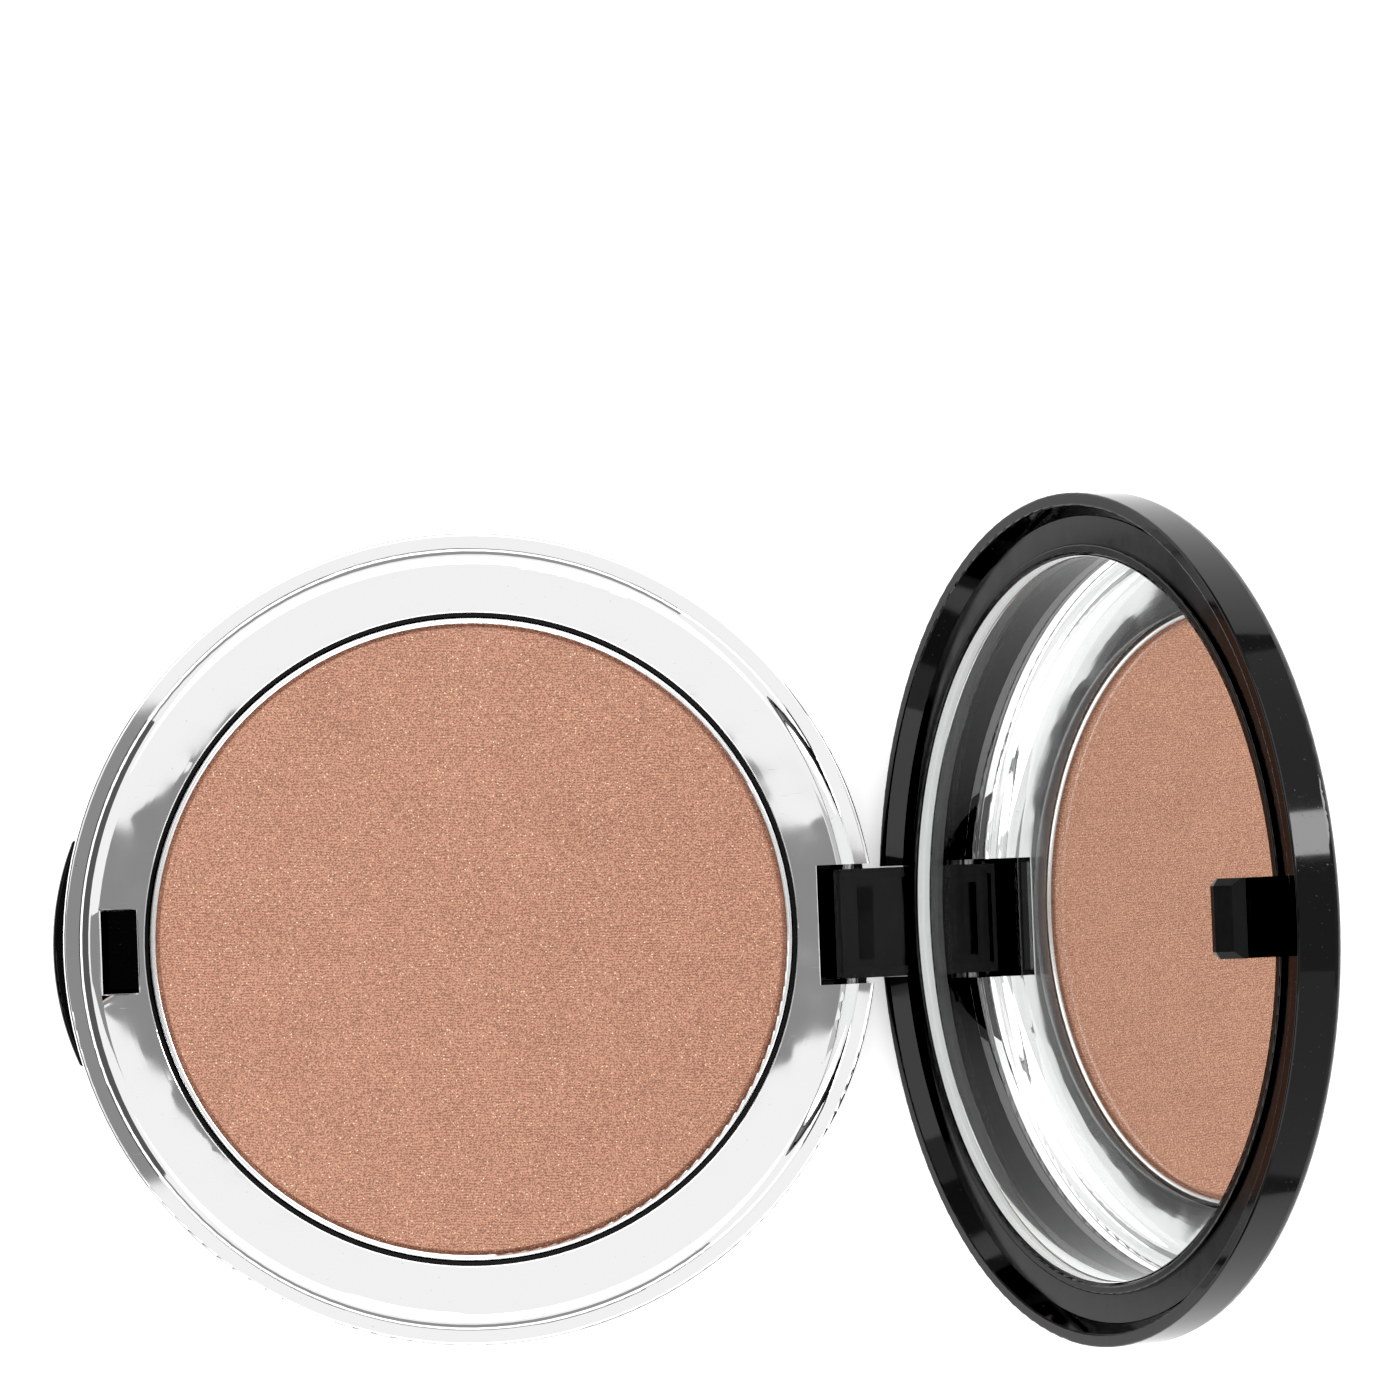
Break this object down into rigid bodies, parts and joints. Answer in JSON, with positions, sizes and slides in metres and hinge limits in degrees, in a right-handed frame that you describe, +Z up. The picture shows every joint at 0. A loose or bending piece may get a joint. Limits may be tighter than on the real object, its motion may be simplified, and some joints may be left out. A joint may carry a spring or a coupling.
{
  "type": "powder compact",
  "caption": "Round hinged powder compact standing open: pressed powder pan in a chrome ring, round mirror in the black lid, latch hook and crescent push button.",
  "frame": {"origin": "centre of the base's round underside, on the plane that it stands on", "axes": "+Z up out of the powder's face; +X from the push button towards the hinge; Y along the hinge pin"},
  "size_m": [0.1082, 0.0752, 0.0717],
  "materials": {
    "black_gloss": "polished black moulding",
    "black_matt": "plain black moulding",
    "chrome_plate": "bright plated plastic",
    "pan_metal": "rolled bright rim",
    "pressed_powder": "pressed powder with a fine woven emboss",
    "foam_pad": "adhesive pad",
    "steel": "drawn wire and strip",
    "label_film": "blank satin film",
    "clear_glass": "polished face, ground edge",
    "silvering": "silver and grey paint coat"
  },
  "bodies": {
    "base": {"base_shell": "black_gloss", "bezel": "chrome_plate", "pan_tray": "black_matt", "pan_adhesive": "foam_pad", "powder_pan": "pan_metal", "powder_cake": "pressed_powder", "hinge_pin": "steel", "base_label": "label_film", "button_springs": "steel"},
    "button": {"push_button": "black_gloss"},
    "lid": {"lid_shell": "black_gloss", "lid_frame": "black_gloss", "mirror_glass": "clear_glass", "mirror_backing": "silvering", "mirror_adhesive": "foam_pad"}
  },
  "joints": [
    {"name": "lid_hinge", "type": "hinge", "parent": "base", "child": "lid", "pos_m": [0.0353, 0, 0.0053], "axis": [0, 1, 0], "range_deg": [-111, 0]},
    {"name": "button_press", "type": "slide", "parent": "base", "child": "button", "axis": [1, 0, 0], "range_m": [0, 0.0008], "stiffness_N_per_m": 1500, "springref_m": -0.0003, "deforming": ["button_springs"]}
  ]
}
